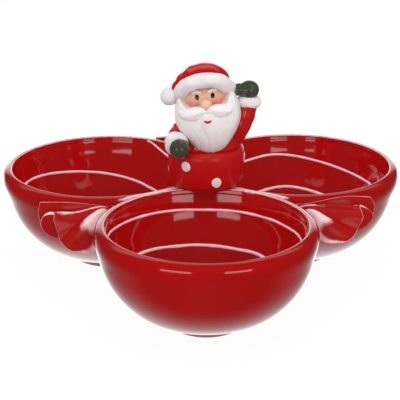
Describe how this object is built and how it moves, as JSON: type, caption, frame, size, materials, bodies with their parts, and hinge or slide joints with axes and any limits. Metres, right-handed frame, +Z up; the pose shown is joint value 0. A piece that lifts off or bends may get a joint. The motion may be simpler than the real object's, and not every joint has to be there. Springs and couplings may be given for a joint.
{
  "type": "candy dish",
  "caption": "Glazed ceramic candy dish: round bowls joined rim to rim, pleated ribbon tails in the gaps between them, and a waving bearded winter figure on a drum in the middle.",
  "frame": {"origin": "on the table, under the middle of the dish's bounding box", "axes": "+X to the right of the front bowl, as the figure is seen from the front, +Y from the front bowl to the back, +Z up"},
  "size_m": [0.2288, 0.2142, 0.1248],
  "materials": {
    "red_glaze": "gloss",
    "white_glaze": "satin",
    "green_glaze": "gloss",
    "skin_glaze": "satin"
  },
  "bodies": {
    "root": {"bowl_front": "red_glaze", "bowl_right": "red_glaze", "bowl_left": "red_glaze", "ribbon_left": "red_glaze", "ribbon_right": "red_glaze", "ribbon_back": "red_glaze", "knot_drum": "red_glaze", "figure_coat": "red_glaze", "hat_crown": "red_glaze", "sleeve_raised": "red_glaze", "sleeve_lowered": "red_glaze", "figure_moustache": "white_glaze", "hat_fur_band": "white_glaze", "hat_pompom": "white_glaze", "figure_beard": "white_glaze", "figure_hair": "white_glaze", "cuff_raised": "white_glaze", "cuff_lowered": "white_glaze", "mitten_raised": "green_glaze", "mitten_lowered": "green_glaze", "figure_head": "skin_glaze", "figure_nose": "skin_glaze"}
  },
  "joints": []
}
